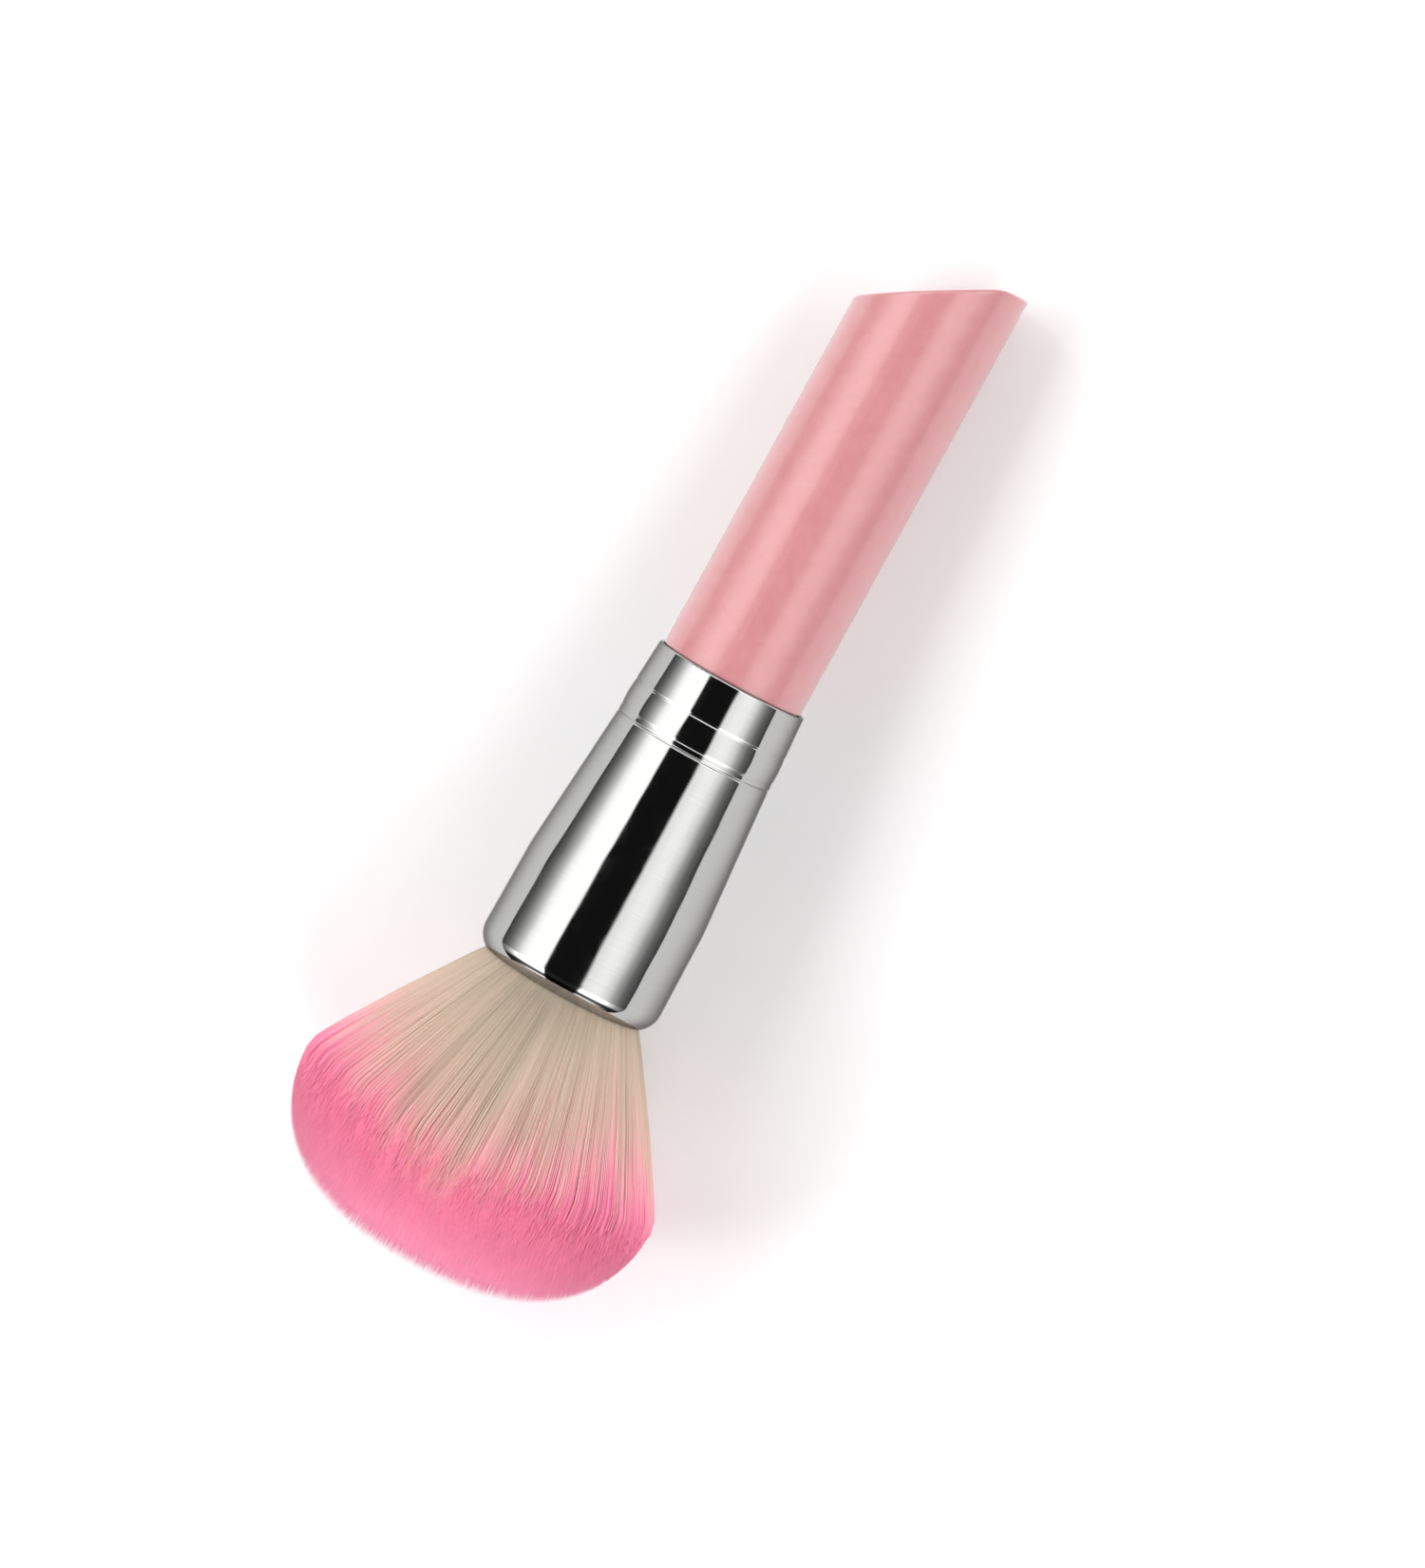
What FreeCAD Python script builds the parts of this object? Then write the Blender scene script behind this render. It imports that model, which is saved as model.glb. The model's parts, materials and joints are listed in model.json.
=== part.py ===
import FreeCAD, Part
import math
import os

# Soft nail brush for sweeping off dust and loose powder: a straight round handle with a
# slanted end, a polished metal ferrule, and a flared, domed head of fine filaments.
#
# Every piece is drawn round a local X axis, which is the brush's own axis. x counts from the
# sharp corner that the slanted end would have on its long side, and grows towards the
# bristles; r is the distance from the axis. laid_down() then puts the brush as it lies on a
# table: Z up, X along the brush, resting on the head's widest ring and the handle's end, with
# the origin under the middle of its bounding box. All lengths are in millimetres.

# Handle
handle_radius = 8.15
cut_tilt = math.radians(30.5)   # of the slanted end, from square to the axis
tip_x = 1.24                    # where the slant's sharp tip is taken off square
tip_blend = 3.3                 # radius between that little flat and the slanted face
cut_edge_round = 0.35
tenon_radius = 7.9
tenon_shoulder_x = 50.8
tenon_end_x = 61.5
tenon_chamfer = 0.8

# Ferrule: one sheet of constant thickness; radii are those of its outer surface
sheet = 0.45
collar_x = 50.9                 # the edge that the handle goes into
collar_rim_radius = 8.62
# rolled lines in the collar, each as x, radius, width, depth: a single one, and the faint
# and the deep one that leave a raised bead between them
single_line = (55.6, 8.90, 0.45, 0.05)
faint_line = (58.7, 9.00, 0.35, 0.04)
deep_line = (59.45, 9.03, 0.50, 0.10)
band_bulge = 0.08               # of the collar between the single line and the bead
cone_end_x = 75.2
cone_end_radius = 10.30
barrel_x = 77.4
barrel_radius = 10.39
lip_x = 85.7                    # where the barrel starts to roll inwards
lip_radius = 10.50
mouth_x = 88.0
mouth_radius = 9.525            # of the outside, where the roll ends

# Filaments
root_x = 72.5
root_radius = 8.5
neck_start_x = 80.0
neck_x = 87.9
neck_radius = 8.95
flare_middle = (96.0, 14.85)
shoulder_x = 104.7
shoulder_radius = 20.15
widest_x = 106.5
head_radius = 20.65
dome_x = 121.1
dome_squareness = 2.8           # exponent of the dome's outline, where 2 is an ellipse
dome_spans = 8

# Thread wound round the root, the resin behind it, and the glue on the tenon
thread_diameter = 0.6
thread_turns = 6
binding_x = 75.4
plug_x = 68.5
plug_end_x = 74.9
glue_x = 51.7
glue_end_x = 60.5
poured_radius = 12.0            # more than the ferrule's, whose wall cuts resin and glue to size

tilt_rounds = 6                 # of correction to the brush's tilt on the table


def point(x, r):
    return FreeCAD.Vector(x, 0, r)


def path(start, *runs):
    """Edges from start: a run is its end (x, r), or a middle and an end for an arc."""
    edges = []
    here = start
    for run in runs:
        if isinstance(run[0], tuple):
            middle, end = run
            edges.append(Part.Arc(point(*here), point(*middle), point(*end)).toShape())
        else:
            end = run
            edges.append(Part.LineSegment(point(*here), point(*end)).toShape())
        here = end
    return edges


def arc_leaving(before, start, end):
    """Arc run from start to end, smooth with the straight line from before to start."""
    turn = math.atan2(end[1] - start[1], end[0] - start[0]) - math.atan2(
        start[1] - before[1], start[0] - before[0])
    rise = math.tan(turn / 2) / 2
    middle = ((start[0] + end[0]) / 2 + rise * (end[1] - start[1]),
              (start[1] + end[1]) / 2 - rise * (end[0] - start[0]))
    return middle, end


def turned(outline):
    """Solid of revolution of a closed outline round the brush's axis."""
    face = Part.Face(Part.Wire(outline))
    return face.revolve(FreeCAD.Vector(0, 0, 0), FreeCAD.Vector(1, 0, 0), 360)


def tube(start_x, end_x, inner, outer):
    return turned(path((start_x, inner), (start_x, outer), (end_x, outer), (end_x, inner),
                       (start_x, inner)))


def slanted_waste():
    """All that lies beyond the slanted face and the little square flat at its tip."""
    reach = 4 * handle_radius
    slope = math.tan(cut_tilt)
    knee_y = handle_radius - tip_x / slope
    corners = [(tip_x, reach), (tip_x, knee_y), ((handle_radius + reach) * slope, -reach),
               (-reach, -reach), (-reach, reach), (tip_x, reach)]
    outline = Part.makePolygon([FreeCAD.Vector(x, y, -reach) for x, y in corners])
    waste = Part.Face(outline).extrude(FreeCAD.Vector(0, 0, 2 * reach))
    knee = min(waste.Edges,
               key=lambda edge: math.dist(edge.CenterOfMass, (tip_x, knee_y, 0)))
    return waste.makeFillet(tip_blend, [knee])


def make_handle():
    """Round stick with a slanted, rounded end; the other end is a tenon for the collar."""
    stick = turned(path(
        (0, 0), (0, handle_radius), (tenon_shoulder_x, handle_radius),
        (tenon_shoulder_x, tenon_radius), (tenon_end_x - tenon_chamfer, tenon_radius),
        (tenon_end_x, tenon_radius - tenon_chamfer), (tenon_end_x, 0), (0, 0)))
    stick = stick.cut(slanted_waste())
    return stick.makeFillet(cut_edge_round, [e for e in stick.Edges if rims_slant(e)])


def rims_slant(edge):
    """Whether an edge runs round the slanted end, between it and the stick's round wall."""
    middle = edge.valueAt((edge.FirstParameter + edge.LastParameter) / 2)
    on_wall = abs(math.hypot(middle.y, middle.z) - handle_radius) < 0.01
    return on_wall and edge.BoundBox.XMax < 2 * handle_radius


def line_rolled_at(x, outer_radius, width, depth):
    """Start of a shallow rolled line in the sheet's middle surface, and its arc."""
    start = middle_of_sheet(x - width / 2, outer_radius)
    return start, (middle_of_sheet(x, outer_radius - depth),
                   middle_of_sheet(x + width / 2, outer_radius))


def middle_of_sheet(x, outer_radius):
    return x, outer_radius - sheet / 2


def make_ferrule():
    """Spun shell: the path is the middle of the sheet, which is then given its thickness."""
    single, single_arc = line_rolled_at(*single_line)
    before, before_arc = line_rolled_at(*faint_line)
    after, after_arc = line_rolled_at(*deep_line)
    band_start = single_arc[1]
    band_top = ((band_start[0] + before[0]) / 2, (band_start[1] + before[1]) / 2 + band_bulge)
    cone_end = middle_of_sheet(cone_end_x, cone_end_radius)
    barrel = middle_of_sheet(barrel_x, barrel_radius)
    lip = middle_of_sheet(lip_x, lip_radius)
    mouth = middle_of_sheet(mouth_x - sheet / 2, mouth_radius)
    sheet_path = path(
        middle_of_sheet(collar_x + sheet / 2, collar_rim_radius), single, single_arc,
        (band_top, before), before_arc, after, after_arc,
        cone_end, arc_leaving(after_arc[1], cone_end, barrel),
        lip, arc_leaving(barrel, lip, mouth))
    return turned(Part.Wire(sheet_path).makeOffset2D(sheet / 2).Edges)


def make_bristle_bundle():
    """Envelope of the filaments, from the bound root to the domed tips."""
    sides = path(
        (root_x, 0), (root_x, root_radius), (neck_start_x, root_radius),
        (neck_x, neck_radius), (flare_middle, (shoulder_x, shoulder_radius)))
    flare = sides[-1]
    shoulder = Part.BSplineCurve()
    shoulder.interpolate(
        [point(shoulder_x, shoulder_radius), point(widest_x, head_radius)],
        InitialTangent=flare.tangentAt(flare.LastParameter), FinalTangent=point(1, 0))
    depth = dome_x - widest_x
    angles = [math.pi / 2 * i / dome_spans for i in range(dome_spans)]
    dome = Part.BSplineCurve()
    dome.interpolate(
        [point(widest_x + depth * math.sin(a),
               head_radius * math.cos(a) ** (2 / dome_squareness)) for a in angles]
        + [point(dome_x, 0)],
        InitialTangent=point(1, 0), FinalTangent=point(0, -1))
    return turned(sides + [shoulder.toShape(), dome.toShape()]
                  + path((dome_x, 0), (root_x, 0)))


def make_root_binding():
    """Thread wound side by side round the root, as one closed band."""
    turns = []
    for turn in range(thread_turns):
        x = binding_x + turn * thread_diameter
        turns.append(((x + thread_diameter / 2, root_radius + thread_diameter),
                      (x + thread_diameter, root_radius + thread_diameter / 2)))
    end_x = binding_x + thread_turns * thread_diameter
    return turned(path(
        (binding_x, root_radius), (binding_x, root_radius + thread_diameter / 2), *turns,
        (end_x, root_radius), (binding_x, root_radius)))


def inside_ferrule(fill, ferrule):
    """The part of a filling that the ferrule's wall holds in."""
    return min(fill.cut(ferrule).Solids, key=lambda solid: solid.BoundBox.YLength)


def make_root_plug(ferrule, bundle):
    """Cast resin that closes the ferrule behind the root and grips the root's first stretch."""
    return inside_ferrule(tube(plug_x, plug_end_x, 0, poured_radius), ferrule).cut(bundle)


def make_handle_adhesive(ferrule):
    """Glue between the tenon and the inside of the collar."""
    return inside_ferrule(tube(glue_x, glue_end_x, tenon_radius, poured_radius), ferrule)


def tilted(piece, tilt):
    """A copy turned about Y so that the bristles' end rises."""
    copy = piece.copy()
    copy.rotate(FreeCAD.Vector(0, 0, 0), FreeCAD.Vector(0, 1, 0), -math.degrees(tilt))
    return copy


def lowest(piece):
    return piece.optimalBoundingBox().ZMin


def resting_tilt(handle, bundle):
    """Tilt at which the handle's end and the head's widest ring touch the same plane."""
    tilt = math.asin((head_radius - handle_radius) / widest_x)
    for _ in range(tilt_rounds):
        tilt += (lowest(tilted(handle, tilt)) - lowest(tilted(bundle, tilt))) / widest_x
    return tilt


def laid_down(pieces):
    """The pieces on the table, with the origin under the middle of their bounding box."""
    tilt = resting_tilt(pieces["handle"], pieces["bristle_bundle"])
    laid = {name: tilted(piece, tilt) for name, piece in pieces.items()}
    box = Part.makeCompound(list(laid.values())).optimalBoundingBox()
    for piece in laid.values():
        piece.translate(FreeCAD.Vector(-box.Center.x, 0, -box.ZMin))
    return laid


def make_brush():
    ferrule = make_ferrule()
    bundle = make_bristle_bundle()
    return {
        "handle": make_handle(),
        "handle_adhesive": make_handle_adhesive(ferrule),
        "ferrule": ferrule,
        "root_plug": make_root_plug(ferrule, bundle),
        "root_binding": make_root_binding(),
        "bristle_bundle": bundle,
    }


os.makedirs("parts", exist_ok=True)
for name, piece in laid_down(make_brush()).items():
    piece.exportStep(f"parts/{name}.step")
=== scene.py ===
import json
import math

import bpy
import numpy as np
from mathutils import Matrix, Vector


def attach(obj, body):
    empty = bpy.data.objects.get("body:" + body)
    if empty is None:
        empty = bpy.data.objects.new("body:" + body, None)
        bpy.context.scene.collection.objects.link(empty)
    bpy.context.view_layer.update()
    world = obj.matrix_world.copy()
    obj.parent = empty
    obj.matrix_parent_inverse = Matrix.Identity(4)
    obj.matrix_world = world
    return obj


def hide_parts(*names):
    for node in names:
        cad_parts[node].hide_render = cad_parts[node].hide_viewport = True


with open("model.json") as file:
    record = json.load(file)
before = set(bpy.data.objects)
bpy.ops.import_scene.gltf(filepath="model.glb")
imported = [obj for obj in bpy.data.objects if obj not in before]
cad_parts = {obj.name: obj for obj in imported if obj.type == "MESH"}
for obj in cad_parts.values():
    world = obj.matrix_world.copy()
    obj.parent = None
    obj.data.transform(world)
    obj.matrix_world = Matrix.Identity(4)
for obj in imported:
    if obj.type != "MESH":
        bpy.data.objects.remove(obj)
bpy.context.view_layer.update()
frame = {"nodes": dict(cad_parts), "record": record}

# Looks of a soft nail brush lying on a pale table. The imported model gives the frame; the
# handle, the ferrule and the three hidden nodes are its own meshes with new materials, and
# the head is made here of separate tapered filaments over a fluted core.
#
# Pieces are drawn in the brush's own axes, in millimetres: x runs along the brush from the
# sharp corner that the slanted end would have, y to the side where the handle is long, and
# z away from the table. BRUSH puts them in the row frame.

MM = 0.001
GRIP_X = 30.5                       # the grip mount's point, along the brush

grip = next(m for m in frame["record"]["mounts"] if m["name"] == "grip")
ALONG = -Vector(grip["axis"]).normalized()
SIDE = Vector((0, 1, 0))
AXES = Matrix((ALONG, SIDE, ALONG.cross(SIDE))).transposed()
CORNER = Vector(grip["pos_m"]) - GRIP_X * MM * ALONG
BRUSH = Matrix.Translation(CORNER) @ AXES.to_4x4() @ Matrix.Scale(MM, 4)

# The head's outline, as in the CAD model
ROOT_X, ROOT_R = 72.5, 8.5
NECK_START_X = 80.0
NECK_X, NECK_R = 87.9, 8.95
SHOULDER_X, SHOULDER_R = 104.7, 20.15
WIDEST_X, HEAD_R = 106.5, 20.65
TIP_X = 121.1
DOME_SQUARENESS = 2.8
BOW = 0.3                           # furthest that the flare bows out from straight
SLOPE_PAST = 0.12                   # at which the flare goes on past the widest ring

# ---------------------------------------------------------------- node trees


def put(tree, kind, inputs=None, **settings):
    """Adds a node; an input is a value, or a socket to link."""
    made = tree.nodes.new(kind)
    for name, value in settings.items():
        setattr(made, name, value)
    for name, value in (inputs or {}).items():
        if isinstance(value, bpy.types.NodeSocket):
            tree.links.new(value, made.inputs[name])
        else:
            made.inputs[name].default_value = value
    return made


def maths(tree, operation, a, b=0.0):
    return put(tree, "ShaderNodeMath", {0: a, 1: b}, operation=operation).outputs[0]


def remap(tree, value, low, high, to_low=0.0, to_high=1.0):
    """Eases from to_low, where the value is low, to to_high, where it is high."""
    return put(tree, "ShaderNodeMapRange",
               {"Value": value, "From Min": low, "From Max": high, "To Min": to_low,
                "To Max": to_high}, interpolation_type="SMOOTHSTEP").outputs[0]


def noise(tree, vector, scale, detail=3.0, roughness=0.5, distortion=0.0):
    return put(tree, "ShaderNodeTexNoise",
               {"Vector": vector, "Scale": scale, "Detail": detail, "Roughness": roughness,
                "Distortion": distortion}).outputs["Fac"]


def blend_colours(tree, share, a, b, mode="MIX"):
    """Colour a, and b over it by the share."""
    made = put(tree, "ShaderNodeMix", data_type="RGBA", blend_type=mode)
    for socket, value in ((made.inputs[0], share), (made.inputs[6], a), (made.inputs[7], b)):
        if isinstance(value, bpy.types.NodeSocket):
            tree.links.new(value, socket)
        else:
            socket.default_value = value
    return made.outputs[2]


def ramp(tree, value, stops):
    """Colour at a value from 0 to 1, by straight lines between (position, colour) stops."""
    made = put(tree, "ShaderNodeValToRGB", {"Fac": value})
    elements = made.color_ramp.elements
    while len(elements) < len(stops):
        elements.new(0.5)
    for element, (position, colour) in zip(elements, stops):
        element.position = position
        element.color = (*colour, 1.0)
    return made.outputs["Color"]


def new_material(name):
    material = bpy.data.materials.new(name)
    material.use_nodes = True
    material.node_tree.nodes.clear()
    return material, material.node_tree


def finish_material(tree, shader):
    output = put(tree, "ShaderNodeOutputMaterial")
    tree.links.new(shader.outputs[0], output.inputs["Surface"])


def brush_coordinates(tree):
    """Object coordinates of a CAD node, turned into the brush's own axes, in millimetres."""
    to_brush = BRUSH.inverted()
    point = put(tree, "ShaderNodeTexCoord").outputs["Object"]
    turned = put(tree, "ShaderNodeMapping",
                 {"Vector": point, "Location": to_brush.translation,
                  "Rotation": to_brush.to_euler(), "Scale": to_brush.to_scale()})
    return turned.outputs[0]


# ---------------------------------------------------------------- materials

PINK = (0.520, 0.203, 0.216, 1)
PINK_CLOUD = (0.555, 0.233, 0.243, 1)
PINK_GRAIN = (0.45, 0.16, 0.178, 1)

METAL = (0.405, 0.405, 0.400, 1)
METAL_RING = (0.43, 0.43, 0.423, 1)
METAL_EDGE = (0.4, 0.4, 0.4, 1)     # where it is seen at a grazing angle

DYE_X = 104.2                       # where the dye ends, on average
DYE_SPAN = 44.0                     # length of brush that the dye map covers
# The darkest cream, at the roots by the ferrule's mouth, is painted shade, not a colour of the
# filaments
ROOT_CREAM_IN_PAINTED_SHADE = (0.42, 0.35, 0.27)
CREAM = (0.63, 0.495, 0.385)
PEACH = (0.77, 0.505, 0.435)
BLUSH = (0.94, 0.44, 0.48)
HOT_PINK = (0.985, 0.295, 0.465)
# The first stop paints shade near the ferrule's mouth; the others are the dye
DYE_STOPS = ((-19.0, ROOT_CREAM_IN_PAINTED_SHADE), (-10.5, CREAM), (-4.5, PEACH), (-0.7, BLUSH),
             (2.8, HOT_PINK))       # millimetres past the dye's edge, and the colour there

STRAND_END_X = 107.0                # where the core's long streaks begin to give way
STIPPLE_X = 113.0                   # where only specks are left, as on the dome

# Node, material, its paler and its deeper colour, roughness
HIDDEN_NODES = (
    ("handle_adhesive", "glue_amber", (0.62, 0.50, 0.30), (0.50, 0.38, 0.20), 0.35),
    ("root_plug", "resin_clear_tan", (0.60, 0.52, 0.38), (0.46, 0.37, 0.24), 0.3),
    ("root_binding", "tie_grey", (0.45, 0.44, 0.42), (0.33, 0.32, 0.30), 0.5))

BOARD = (0.83, 0.83, 0.83, 1)
BOARD_MOTTLE = (0.85, 0.85, 0.85, 1)


def handle_material():
    """Satin pink lacquer with faint clouding and a fine grain."""
    material, tree = new_material("handle_pink_satin")
    point = brush_coordinates(tree)
    clouds = noise(tree, point, scale=0.5, detail=5.0, roughness=0.65, distortion=0.4)
    grain = noise(tree, point, scale=4.0, roughness=0.6)
    pink = blend_colours(tree, remap(tree, clouds, 0.25, 0.75), PINK, PINK_CLOUD)
    pink = blend_colours(tree, maths(tree, "MULTIPLY", grain, 0.2), pink, PINK_GRAIN)
    gloss = remap(tree, clouds, 0.2, 0.8, 0.30, 0.38)
    peel = put(tree, "ShaderNodeBump",
               {"Strength": 0.5, "Distance": 0.004 * MM,
                "Height": noise(tree, point, scale=1.6, detail=4.0)})
    shader = put(tree, "ShaderNodeBsdfPrincipled",
                 {"Base Color": pink, "Roughness": gloss, "Normal": peel.outputs[0],
                  "IOR": 1.5, "Coat Weight": 1.0, "Coat Roughness": 0.2,
                  "Coat Normal": peel.outputs[0]})
    finish_material(tree, shader)
    return material


def ferrule_material():
    """Mirror-bright metal, with the fine rings that spinning and polishing leave."""
    material, tree = new_material("ferrule_bright_metal")
    point = brush_coordinates(tree)
    squeezed = put(tree, "ShaderNodeMapping", {"Vector": point, "Scale": (14.0, 0.12, 0.12)})
    rings = noise(tree, squeezed.outputs[0], scale=1.0, detail=4.0, roughness=0.65)
    smudges = noise(tree, point, scale=0.28, detail=4.0, roughness=0.6, distortion=0.6)
    gloss = remap(tree, smudges, 0.35, 0.75, 0.05, 0.10)
    waves = put(tree, "ShaderNodeBump",
                {"Strength": 1.0, "Distance": 0.06 * MM,
                 "Height": noise(tree, point, scale=0.16, detail=1.0)})
    spun = put(tree, "ShaderNodeBump",
               {"Strength": 0.04, "Distance": 0.01 * MM, "Height": rings,
                "Normal": waves.outputs[0]})
    tint = blend_colours(tree, remap(tree, rings, 0.3, 0.7), METAL, METAL_RING)
    shader = put(tree, "ShaderNodeBsdfPrincipled",
                 {"Base Color": tint, "Metallic": 1.0, "Roughness": gloss,
                  "Specular Tint": METAL_EDGE, "Normal": spun.outputs[0]})
    finish_material(tree, shader)
    return material


def dye_colour(tree, along):
    """Colour at a place on the dye map, where 0.5 is the edge of the dye."""
    return ramp(tree, along, [(0.5 + past / DYE_SPAN, colour) for past, colour in DYE_STOPS])


def filament_material():
    """Fine synthetic filaments, cream at the root, darkened there by painted shade near the
    ferrule, and dyed pink towards the tips.
    """
    material, tree = new_material("filaments_dipped")
    place = put(tree, "ShaderNodeUVMap", uv_map="OFBake").outputs[0]
    parts = put(tree, "ShaderNodeSeparateXYZ", {0: place})
    shade = maths(tree, "PINGPONG", parts.outputs[1], 0.5)
    mottle = noise(tree, place, scale=30.0, detail=2.0)
    dyed = dye_colour(tree, parts.outputs[0])
    value = maths(tree, "MULTIPLY", remap(tree, shade, 0.0, 0.5, 0.97, 1.02),
                  remap(tree, mottle, 0.3, 0.7, 0.985, 1.015))
    toned = put(tree, "ShaderNodeHueSaturation", {"Value": value, "Color": dyed}).outputs[0]
    finish_material(tree, put(tree, "ShaderNodeBsdfPrincipled",
                              {"Base Color": toned, "Roughness": 0.55, "IOR": 1.45,
                               "Specular IOR Level": 0.3}))
    return material


def core_material():
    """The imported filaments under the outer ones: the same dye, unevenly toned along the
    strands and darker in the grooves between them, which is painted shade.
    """
    material, tree = new_material("filaments_core")
    point = put(tree, "ShaderNodeTexCoord").outputs["Object"]
    parts = put(tree, "ShaderNodeSeparateXYZ", {0: point})
    around = maths(tree, "ARCTAN2", parts.outputs[2], parts.outputs[1])
    drawn_out = put(tree, "ShaderNodeCombineXYZ",
                    {0: maths(tree, "MULTIPLY", parts.outputs[0], 0.08),
                     1: maths(tree, "MULTIPLY", around, 60.0)})
    strands = noise(tree, drawn_out.outputs[0], scale=1.0)
    along = remap(tree, parts.outputs[0], DYE_X - DYE_SPAN / 2, DYE_X + DYE_SPAN / 2)
    stipple = noise(tree, point, scale=3.5, detail=2.0)
    strands = blend_colours(tree, remap(tree, parts.outputs[0], STRAND_END_X, STIPPLE_X),
                            strands, stipple)
    dyed = dye_colour(tree, maths(tree, "ADD", along,
                                  remap(tree, strands, 0.2, 0.8, -0.05, 0.05)))
    # Darker where the strands' relief sinks: painted shade in the grooves, on top of random
    # tone along the strands
    toned = put(tree, "ShaderNodeHueSaturation",
                {"Value": remap(tree, strands, 0.3, 0.7, 0.90, 1.04), "Color": dyed})
    relief = put(tree, "ShaderNodeBump",
                 {"Strength": 0.6, "Distance": 0.1 * MM, "Height": strands})
    finish_material(tree, put(tree, "ShaderNodeBsdfPrincipled",
                              {"Base Color": toned.outputs[0], "Roughness": 0.7,
                               "Normal": relief.outputs[0]}))
    return material


def binder_material(name, pale, deep, roughness):
    """Glue, resin or thread out of sight: mottled, with a faintly uneven surface."""
    material, tree = new_material(name)
    point = brush_coordinates(tree)
    mottle = noise(tree, point, scale=0.8, detail=4.0, roughness=0.6)
    colour = blend_colours(tree, remap(tree, mottle, 0.3, 0.7), (*pale, 1), (*deep, 1))
    uneven = put(tree, "ShaderNodeBump",
                 {"Strength": 0.5, "Distance": 0.03 * MM, "Height": mottle})
    finish_material(tree, put(tree, "ShaderNodeBsdfPrincipled",
                              {"Base Color": colour, "Roughness": roughness,
                               "Normal": uneven.outputs[0]}))
    return material


def floor_material():
    """Pale matt board with a hardly visible grain."""
    material, tree = new_material("pale_board")
    point = put(tree, "ShaderNodeTexCoord").outputs["Object"]
    mottle = noise(tree, point, scale=35.0, detail=5.0, roughness=0.6)
    tone = blend_colours(tree, mottle, BOARD, BOARD_MOTTLE)
    finish_material(tree, put(tree, "ShaderNodeBsdfPrincipled",
                              {"Base Color": tone, "Roughness": 0.8,
                               "Specular IOR Level": 0.2}))
    return material


# ---------------------------------------------------------------- the head

SEED = 11
LAYERS = ((26000, 8.0), (14000, 2.0))    # filaments, and how they crowd to the outside
FILAMENTS = sum(layer[0] for layer in LAYERS)
GOLDEN_ANGLE = math.pi * (3 - math.sqrt(5))
SECTORS = 12                        # meshes that the filaments are shared out over
SIDES = 3                           # of a filament
# A filament's first station is inside the ferrule, out of sight
BEND_STATIONS = (84.5, 86.8, 87.9, 90.0, 97.0, 102.0, 104.2, 105.2, 106.5)
FREE_STATIONS = 4                   # from the last of those to the tip
FILAMENT_R = 0.054
TIP_R = 0.028
TAPER_POWER = 12                    # so that most of the taper is near the tip
THICKNESS_SPREAD = (0.85, 1.15)

CLUMPS = 520
CLUMP_PULL = 0.05                   # greatest share of the way to the clump's middle
CLUMP_GATHER = 1.3                  # power at which that pull sets in along the brush
STRAY = 0.005                       # share of the bundle's radius
SWAY = 0.06                         # greatest, to the side
SWAY_TURNS = (0.5, 1.5)             # waves of it from the neck to the tip

TIP_PROUD = 0.2                     # furthest that a tip stands out of the dome
TIP_FALL = 0.15                     # what tips fall short of that, on average
SHORT_SHARE = 0.08                  # of the inner filaments, which end well inside
SHORT_INSIDE = 0.93                 # share of the bundle's radius where those are
SHORT_BY = 2.5                      # at most
LEAST_PAST_BEND = 0.4               # from the last bend station to a tip

ROWS = 64                           # shades of filament, each a row of the dye map
ROW_SCATTER = 12                    # rows, inside a clump
ROW_MARGIN = 0.1                    # share of a row left free at each side

# How far the dye's edge runs to and fro along the brush, all the way round: two waves,
# nearest the tips above and below, four with them, and finer (number, size, phase) ones
TWO_WAVES = 3.1
FOUR_WAVES = 1.2
FINE_WAVES = ((7, 0.3, 2.0), (17, 0.5, 1.0), (31, 0.5, 0.0), (47, 0.35, 2.5))
DYE_CLUMP_SPREAD = 0.5
DYE_OWN_SPREAD = 1.0
MISSED_SHARE = 0.03                 # of the filaments, which took less dye
MISSED_BY = (2, 9)
MISSED_TIP = 3.5                    # length that still got dyed on those

CORE_START = 89.0                   # of its close stations, past the neck
CORE_LAST = 119.7
CORE_TIP_X = 119.8
CORE_STATIONS = 60
CORE_SEGMENTS = 256
CORE_NECK_SHARE = 0.985             # of the flare's radius, in the neck
CORE_SHARE = 0.982                  # and past it
CORE_DEPTH_X = (104.0, 110.0, 118.0)
CORE_DEPTH = (0.25, 0.4, 1.1)       # beneath the head's outside, at those places
FLUTES = ((31, 1.0), (53, 0.7), (83, 0.5))    # how many, and their share of the depth
FLUTE_DEPTH = 0.004                 # share of the radius


def shoulder_radius(x):
    """Radius of the rounded shoulder, from the straight flare to the widest ring."""
    between = np.clip((x - SHOULDER_X) / (WIDEST_X - SHOULDER_X), 0, 1)
    return SHOULDER_R + (HEAD_R - SHOULDER_R) * (1 - (1 - between) ** 2)


def flare_outline():
    """Radius of the outermost filament along the brush, carried on past the shoulder."""
    xs = np.linspace(NECK_X, TIP_X, 200)
    share = (xs - NECK_X) / (SHOULDER_X - NECK_X)
    bow = 4 * BOW * share * (1 - share)
    straight = NECK_R + share * (SHOULDER_R - NECK_R)
    past = np.clip(xs - WIDEST_X, 0, None)
    rounded = shoulder_radius(xs) + SLOPE_PAST * past
    rs = np.where(xs <= SHOULDER_X, straight + bow, rounded)
    return (np.concatenate(([ROOT_X, NECK_START_X], xs)),
            np.concatenate(([ROOT_R, ROOT_R], rs)))


FLARE_X, FLARE_R = flare_outline()


def flare_radius(x):
    return np.interp(x, FLARE_X, FLARE_R)


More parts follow.
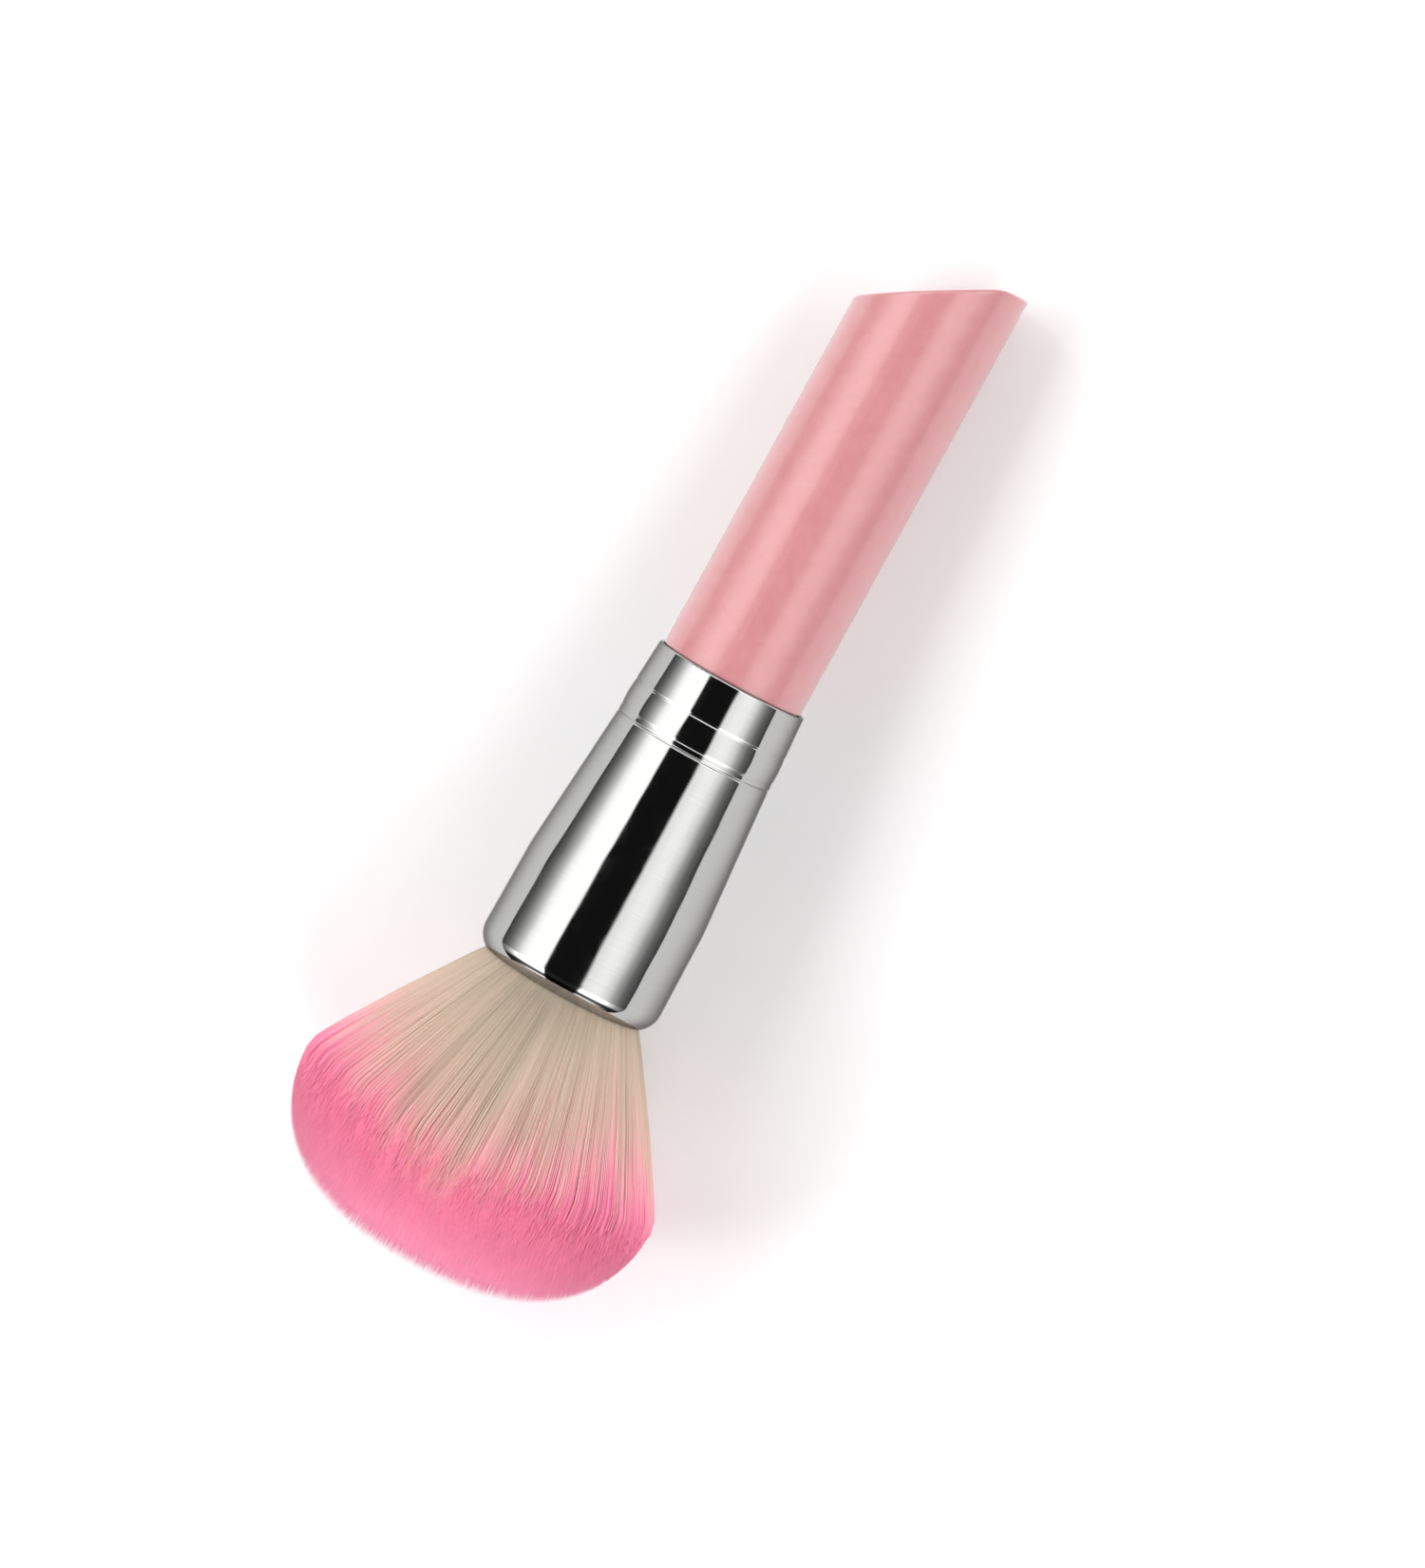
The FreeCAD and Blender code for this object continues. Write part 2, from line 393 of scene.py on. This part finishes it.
def envelope_radius(x):
    """Radius of the head's outside, from the root to the dome's tip."""
    depth = np.clip((x - WIDEST_X) / (TIP_X - WIDEST_X), 0, 1)
    dome = HEAD_R * (1 - depth ** 2) ** (1 / DOME_SQUARENESS)
    return np.where(x < SHOULDER_X, flare_radius(x),
                    np.where(x < WIDEST_X, shoulder_radius(x), dome))


def tip_station(spread):
    """Where a filament at this share of the flare's radius meets the head's outside."""
    xs = np.linspace(WIDEST_X, TIP_X, 300)
    shares = np.minimum.accumulate(envelope_radius(xs) / flare_radius(xs))
    return np.interp(spread, shares[::-1], xs[::-1])


def scatter(rng):
    """Each filament's place across the bundle, its clump, and how it strays from straight."""
    angle = GOLDEN_ANGLE * np.arange(FILAMENTS)
    spread = np.concatenate([((np.arange(count) + 0.5) / count) ** (1 / crowding)
                             for count, crowding in LAYERS])
    start = np.stack([spread * np.cos(angle), spread * np.sin(angle)], 1)
    centre_angle = rng.uniform(0, 2 * math.pi, CLUMPS)
    centre_spread = np.sqrt(rng.uniform(0, 1, CLUMPS))
    centres = np.stack([centre_spread * np.cos(centre_angle),
                        centre_spread * np.sin(centre_angle)], 1)
    nearest = np.argmin(((start[:, None, :] - centres[None]) ** 2).sum(2), 1)
    pull = rng.uniform(0.0, CLUMP_PULL, CLUMPS)[nearest]
    stray = rng.normal(0, STRAY, (FILAMENTS, 2))
    end = start + pull[:, None] * (centres[nearest] - start) + stray
    size = np.linalg.norm(end, axis=1)
    end *= (np.minimum(size, 1.0) / np.maximum(size, 1e-6))[:, None]
    return start, end, nearest


def make_filaments(rng):
    """Each filament's stations, from inside the ferrule to its tip, and its clump."""
    start, end, clump = scatter(rng)
    spread = np.linalg.norm(end, axis=1)
    tip = tip_station(spread)
    tip += TIP_PROUD - rng.exponential(TIP_FALL, FILAMENTS)
    short = (rng.uniform(0, 1, FILAMENTS) < SHORT_SHARE) & (spread < SHORT_INSIDE)
    tip -= short * rng.uniform(0, SHORT_BY, FILAMENTS)
    tip = np.maximum(tip, BEND_STATIONS[-1] + LEAST_PAST_BEND)

    shares = np.linspace(0, 1, FREE_STATIONS + 1)[1:]
    bend = np.broadcast_to(np.array(BEND_STATIONS), (FILAMENTS, len(BEND_STATIONS)))
    free = bend[:, -1:] + shares * (tip[:, None] - bend[:, -1:])
    xs = np.concatenate([bend, free], 1)
    progress = np.clip((xs - NECK_X) / (tip[:, None] - NECK_X), 0, 1)
    gathered = progress[:, :, None] ** CLUMP_GATHER
    across = start[:, None, :] + gathered * (end - start)[:, None, :]
    radius = flare_radius(xs)
    sway_turns = rng.uniform(*SWAY_TURNS, (FILAMENTS, 1))
    sway_phase = rng.uniform(0, 2 * math.pi, (FILAMENTS, 1))
    sway_angle = rng.uniform(0, 2 * math.pi, FILAMENTS)
    sway = rng.uniform(0, SWAY, (FILAMENTS, 1)) * np.sin(
        2 * math.pi * sway_turns * progress + sway_phase) * progress
    y = across[:, :, 0] * radius + sway * np.cos(sway_angle)[:, None]
    z = across[:, :, 1] * radius + sway * np.sin(sway_angle)[:, None]
    return np.stack([xs, y, z], 2), clump


def tube_mesh(name, centre, thickness, along, row, twist):
    """One mesh of closed tapered tubes, each ending in a point, with the dye map as its UVs."""
    count, stations, _ = centre.shape
    tangent = np.gradient(centre, axis=1)
    tangent /= np.linalg.norm(tangent, axis=2, keepdims=True)
    first = np.cross(tangent, (0.0, 0.0, 1.0))
    lost = np.linalg.norm(first, axis=2, keepdims=True) < 1e-3
    first = np.where(lost, np.cross(tangent, (0.0, 1.0, 0.0)), first)
    first /= np.linalg.norm(first, axis=2, keepdims=True)
    second = np.cross(tangent, first)
    turns = 2 * math.pi * np.arange(SIDES) / SIDES
    angle = twist[:, None, None] + turns
    rings = centre[:, :-1, None, :] + thickness[:, :-1, None, None] * (
        np.cos(angle)[..., None] * first[:, :-1, None, :]
        + np.sin(angle)[..., None] * second[:, :-1, None, :])
    points = np.concatenate([rings.reshape(count, -1, 3), centre[:, -1:, :]], 1)
    per_tube = points.shape[1]

    side = np.arange(SIDES)
    after = (side + 1) % SIDES
    level = np.arange(stations - 2)[:, None] * SIDES
    quads = np.stack([level + side, level + after, level + after + SIDES,
                      level + side + SIDES], 2).reshape(-1, 4)
    last = (stations - 2) * SIDES
    tips = np.stack([last + side, last + after, np.full(SIDES, per_tube - 1)], 1)
    base = side[::-1][None, :]
    corners = np.concatenate([quads.ravel(), tips.ravel(), base.ravel()])
    sizes = np.concatenate([np.full(len(quads), 4), np.full(len(tips), 3), [SIDES]])

    # v steps round the tube inside the filament's own row of the map
    quad_station = np.repeat(np.arange(stations - 2), SIDES)
    quad_u = np.stack([quad_station, quad_station, quad_station + 1, quad_station + 1], 1)
    quad_side = np.tile(side, stations - 2)
    quad_v = np.stack([quad_side, quad_side + 1, quad_side + 1, quad_side], 1)
    tip_u = np.tile([stations - 2, stations - 2, stations - 1], (SIDES, 1))
    tip_v = np.stack([side, side + 1, side + 0.5], 1)
    base_u = np.zeros((1, SIDES), int)
    base_v = np.array([[0.1, 1.5, 2.9]])
    loop_u = np.concatenate([quad_u.ravel(), tip_u.ravel(), base_u.ravel()])
    loop_v = np.concatenate([quad_v.ravel(), tip_v.ravel(), base_v.ravel()]) / SIDES

    mesh = bpy.data.meshes.new(name)
    mesh.vertices.add(count * per_tube)
    mesh.vertices.foreach_set("co", points.astype(np.float32).ravel())
    offsets = np.arange(count)[:, None] * per_tube
    mesh.loops.add(count * len(corners))
    mesh.loops.foreach_set("vertex_index", (offsets + corners).ravel().astype(np.int32))
    mesh.polygons.add(count * len(sizes))
    starts = np.concatenate([[0], np.cumsum(sizes)[:-1]])
    loop_offsets = np.arange(count)[:, None] * len(corners)
    mesh.polygons.foreach_set("loop_start", (loop_offsets + starts).ravel().astype(np.int32))
    mesh.update(calc_edges=True)
    mesh.polygons.foreach_set("use_smooth", np.ones(count * len(sizes), bool))
    shade = row[:, None] + ROW_MARGIN + (1 - 2 * ROW_MARGIN) * loop_v
    uvs = np.stack([along[:, loop_u], shade / ROWS], 2)
    layer = mesh.uv_layers.new(name="OFBake")
    layer.data.foreach_set("uv", uvs.astype(np.float32).ravel())
    mesh.update()
    return mesh


def dye_edge(centre, clump, rng):
    """Where along the brush each filament's dye ends: uneven all round, and clump by clump."""
    angle = np.arctan2(centre[:, -1, 2], centre[:, -1, 1])
    from_top = angle - math.pi / 2
    wave = TWO_WAVES * np.cos(2 * from_top) + FOUR_WAVES * np.cos(4 * from_top)
    for turns, size, phase in FINE_WAVES:
        wave = wave + size * np.sin(turns * angle + phase)
    by_clump = rng.normal(0, DYE_CLUMP_SPREAD, CLUMPS)[clump]
    own = rng.normal(0, DYE_OWN_SPREAD, FILAMENTS)
    missing = rng.uniform(0, 1, FILAMENTS) < MISSED_SHARE
    missed = missing * rng.uniform(*MISSED_BY, FILAMENTS)
    edge = DYE_X + wave + by_clump + own
    return np.minimum(edge + missed, np.maximum(edge, centre[:, -1, 0] - MISSED_TIP))


def make_head():
    """All the filaments, shared out by the direction of their tips."""
    rng = np.random.default_rng(SEED)
    centre, clump = make_filaments(rng)
    share = np.clip((centre[:, :, 0] - NECK_X) / (centre[:, -1:, 0] - NECK_X), 0, 1)
    size = rng.uniform(*THICKNESS_SPREAD, (FILAMENTS, 1))
    thickness = size * (FILAMENT_R + (TIP_R - FILAMENT_R) * share ** TAPER_POWER)
    edge = dye_edge(centre, clump, rng)
    along = np.clip(0.5 + (centre[:, :, 0] - edge[:, None]) / DYE_SPAN, 0.01, 0.99)
    row = (rng.integers(0, ROWS, CLUMPS)[clump]
           + rng.integers(-ROW_SCATTER, ROW_SCATTER + 1, FILAMENTS)) % ROWS
    twist = rng.uniform(0, 2 * math.pi, FILAMENTS)
    sector = ((np.arctan2(centre[:, -1, 2], centre[:, -1, 1]) / (2 * math.pi)) % 1
              * SECTORS).astype(int)
    material = filament_material()
    for number in range(SECTORS):
        mine = sector == number
        mesh = tube_mesh(f"bristles_{number + 1}", centre[mine], thickness[mine],
                         along[mine], row[mine], twist[mine])
        add_piece(mesh, material, "filaments", "bristle_bundle")


def revolved(name, outline, segments, wobble):
    """Mesh of an outline, a list of (x, r) from axis to axis, turned round the brush's axis."""
    xs = np.array([p[0] for p in outline[1:-1]])
    rs = np.array([p[1] for p in outline[1:-1]])
    angle = 2 * math.pi * np.arange(segments) / segments
    radius = np.broadcast_to(rs[:, None], (len(rs), segments)).copy()
    radius *= wobble(xs[:, None], angle[None, :])
    ring = np.stack([np.broadcast_to(xs[:, None], radius.shape), radius * np.cos(angle),
                     radius * np.sin(angle)], 2).reshape(-1, 3)
    points = np.concatenate([ring, [(outline[0][0], 0, 0), (outline[-1][0], 0, 0)]])
    faces = []
    for i in range(len(xs) - 1):
        for j in range(segments):
            k = (j + 1) % segments
            faces.append((i * segments + j, i * segments + k, (i + 1) * segments + k,
                          (i + 1) * segments + j))
    top = (len(xs) - 1) * segments
    for j in range(segments):
        k = (j + 1) % segments
        faces.append((len(ring), k, j))
        faces.append((len(ring) + 1, top + j, top + k))
    mesh = bpy.data.meshes.new(name)
    mesh.from_pydata(points.tolist(), [], faces)
    mesh.shade_smooth()
    return mesh


def make_core():
    """Solid heart of the bundle, fluted like packed filaments, just under the outer ones."""
    rng = np.random.default_rng(SEED + 1)
    phases = rng.uniform(0, 2 * math.pi, len(FLUTES))

    def fluted(x, angle):
        grow = np.clip((x - NECK_X) / (WIDEST_X - NECK_X), 0, 1)
        waves = sum(share * np.sin(count * angle + phase)
                    for (count, share), phase in zip(FLUTES, phases))
        return 1 + FLUTE_DEPTH * grow * waves

    xs = np.concatenate([np.linspace(ROOT_X, NECK_X, 8),
                         np.linspace(CORE_START, CORE_LAST, CORE_STATIONS)])
    depth = np.interp(xs, CORE_DEPTH_X, CORE_DEPTH)
    under = envelope_radius(xs + depth) - depth
    rs = np.where(xs <= NECK_X, flare_radius(xs) * CORE_NECK_SHARE,
                  np.minimum(flare_radius(xs) * CORE_SHARE, under))
    outline = [(ROOT_X, 0.0), *zip(xs.tolist(), rs.tolist()), (CORE_TIP_X, 0.0)]
    mesh = revolved("bristle_core", outline, CORE_SEGMENTS, fluted)
    add_piece(mesh, core_material(), "filaments", "bristle_bundle")


def add_piece(mesh, material, slot, *replaced):
    """A mesh in the brush's axes, put in the row frame and bound to the one body."""
    piece = bpy.data.objects.new(mesh.name, mesh)
    bpy.context.scene.collection.objects.link(piece)
    piece.matrix_world = BRUSH
    mesh.materials.append(material)
    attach(piece, "root")
    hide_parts(*replaced)


# ---------------------------------------------------------------- stage, light and camera

FLOOR_SIZE = 12.0

LIGHT = 2.42                        # radiance of the soft boxes
# Brightness of the boxes by degrees from overhead, in the plane square to the brush:
# minus is the side to which the handle's slanted end is short
BOX_STOPS = (
    (-90, 0.03), (-78, 0.12), (-70, 0.27), (-63, 0.48), (-55, 0.85), (-48, 1.0),
    (-23, 1.0), (-20.5, 0.005), (23, 0.005), (27, 0.72), (40, 0.84), (50, 0.82),
    (60, 0.60), (68, 0.30), (77, 0.12), (90, 0.03))
# Ranges of a direction's x (1 is past the bristles) or z (1 is overhead) in which a light
# comes in or goes out
BOX_END_X, BOX_START_X = (0.62, 0.52), (-0.80, -0.66)
BOX_GROW_X = (0.26, 0.40)           # either way from the middle, up to BOX_BRIGHT
BOX_BRIGHT = 2.6
CARD_X, CARD_Z = (0.73, 0.77), (0.03, 0.10)
CARD_WHITE_X = (0.84, 0.88)
KEY_X, KEY_Z = (-0.38, -0.50), (0.25, 0.45)
KEY = (0.70, 0.70, 0.70, 1)
WHITE = (1.0, 1.0, 1.0, 1)
BACKDROP = (0.86, 0.86, 0.86, 1)


def make_floor():
    mesh = bpy.data.meshes.new("floor")
    half = FLOOR_SIZE / 2
    mesh.from_pydata([(-half, -half, 0), (half, -half, 0), (half, half, 0), (-half, half, 0)],
                     [], [(0, 1, 2, 3)])
    floor = bpy.data.objects.new("floor", mesh)
    bpy.context.scene.collection.objects.link(floor)
    mesh.materials.append(floor_material())


def make_world():
    """Two long soft boxes beside a dark gap overhead, fading to the horizon, with a card past
    the bristles, a key light past the handle and an even backdrop for the camera."""
    world = bpy.data.worlds.new("studio")
    bpy.context.scene.world = world
    world.use_nodes = True
    tree = world.node_tree
    tree.nodes.clear()
    direction = put(tree, "ShaderNodeTexCoord").outputs["Generated"]
    parts = put(tree, "ShaderNodeSeparateXYZ", {0: direction})
    from_zenith = maths(tree, "ARCTAN2", parts.outputs[1], parts.outputs[2])
    turn = maths(tree, "ADD", maths(tree, "DIVIDE", from_zenith, math.pi), 0.5)

    across = ramp(tree, turn, [(0.5 + degrees / 180, (value, value, value))
                               for degrees, value in BOX_STOPS])
    endways = maths(tree, "ABSOLUTE", parts.outputs[0])
    window = maths(tree, "MULTIPLY", remap(tree, parts.outputs[0], *BOX_END_X, 0.04, 1.0),
                   remap(tree, parts.outputs[0], *BOX_START_X, 0.1, 1.0))
    window = maths(tree, "MULTIPLY", window,
                   remap(tree, endways, *BOX_GROW_X, 1.0, BOX_BRIGHT))
    lit = blend_colours(tree, 1.0, across, window, "MULTIPLY")
    card = maths(tree, "MULTIPLY", remap(tree, parts.outputs[0], *CARD_X),
                 remap(tree, parts.outputs[2], *CARD_Z))
    card_colour = blend_colours(tree, remap(tree, parts.outputs[0], *CARD_WHITE_X), across,
                                WHITE)
    lit = blend_colours(tree, card, lit, card_colour)
    key = maths(tree, "MULTIPLY", remap(tree, parts.outputs[0], *KEY_X),
                remap(tree, parts.outputs[2], *KEY_Z))
    lit = blend_colours(tree, key, lit, KEY)
    boxes = put(tree, "ShaderNodeBackground", {"Color": lit, "Strength": LIGHT})
    backdrop = put(tree, "ShaderNodeBackground", {"Color": BACKDROP, "Strength": 1.0})
    seen = put(tree, "ShaderNodeLightPath").outputs["Is Camera Ray"]
    mixed = put(tree, "ShaderNodeMixShader",
                {0: seen, 1: boxes.outputs[0], 2: backdrop.outputs[0]})
    output = put(tree, "ShaderNodeOutputWorld")
    tree.links.new(mixed.outputs[0], output.inputs["Surface"])


LEAN = math.radians(4.5)            # of the view, from square to the brush, to the handle's end
TURN = math.radians(7.7)            # of the view round the brush, to the handle's long side
SLANT = math.radians(28.85)         # of the brush, from upright in the picture
PICTURE_HEIGHT = 165.0              # what the picture holds, at the brush
LENS = 200.0
SENSOR = 36.0
AIM_X, AIM_SIDE = 61.6, 3.5


def make_camera():
    back = Vector((-math.sin(LEAN), math.cos(LEAN) * math.sin(TURN),
                   math.cos(LEAN) * math.cos(TURN)))
    along = Vector((1, 0, 0))
    along = (along - along.dot(back) * back).normalized()
    side = back.cross(along)
    right = -math.sin(SLANT) * along + math.cos(SLANT) * side
    up = -math.cos(SLANT) * along - math.sin(SLANT) * side
    distance = PICTURE_HEIGHT * LENS / SENSOR
    place = Vector((AIM_X, 0, 0)) + AIM_SIDE * side + distance * back
    data = bpy.data.cameras.new("camera")
    data.lens = LENS
    data.sensor_width = SENSOR
    data.clip_start, data.clip_end = 0.05, 20.0
    camera = bpy.data.objects.new("camera", data)
    bpy.context.scene.collection.objects.link(camera)
    turned = AXES @ Matrix((right, up, back)).transposed()
    camera.matrix_world = Matrix.Translation(BRUSH @ place) @ turned.to_4x4()
    bpy.context.scene.camera = camera


def dress(node, material):
    for mesh_slot in frame["nodes"][node].material_slots:
        mesh_slot.material = material


dress("handle", handle_material())
dress("ferrule", ferrule_material())
for node_name, *look in HIDDEN_NODES:
    dress(node_name, binder_material(*look))
make_core()
make_head()
make_floor()
make_world()
make_camera()
bpy.context.scene.view_settings.view_transform = "Standard"
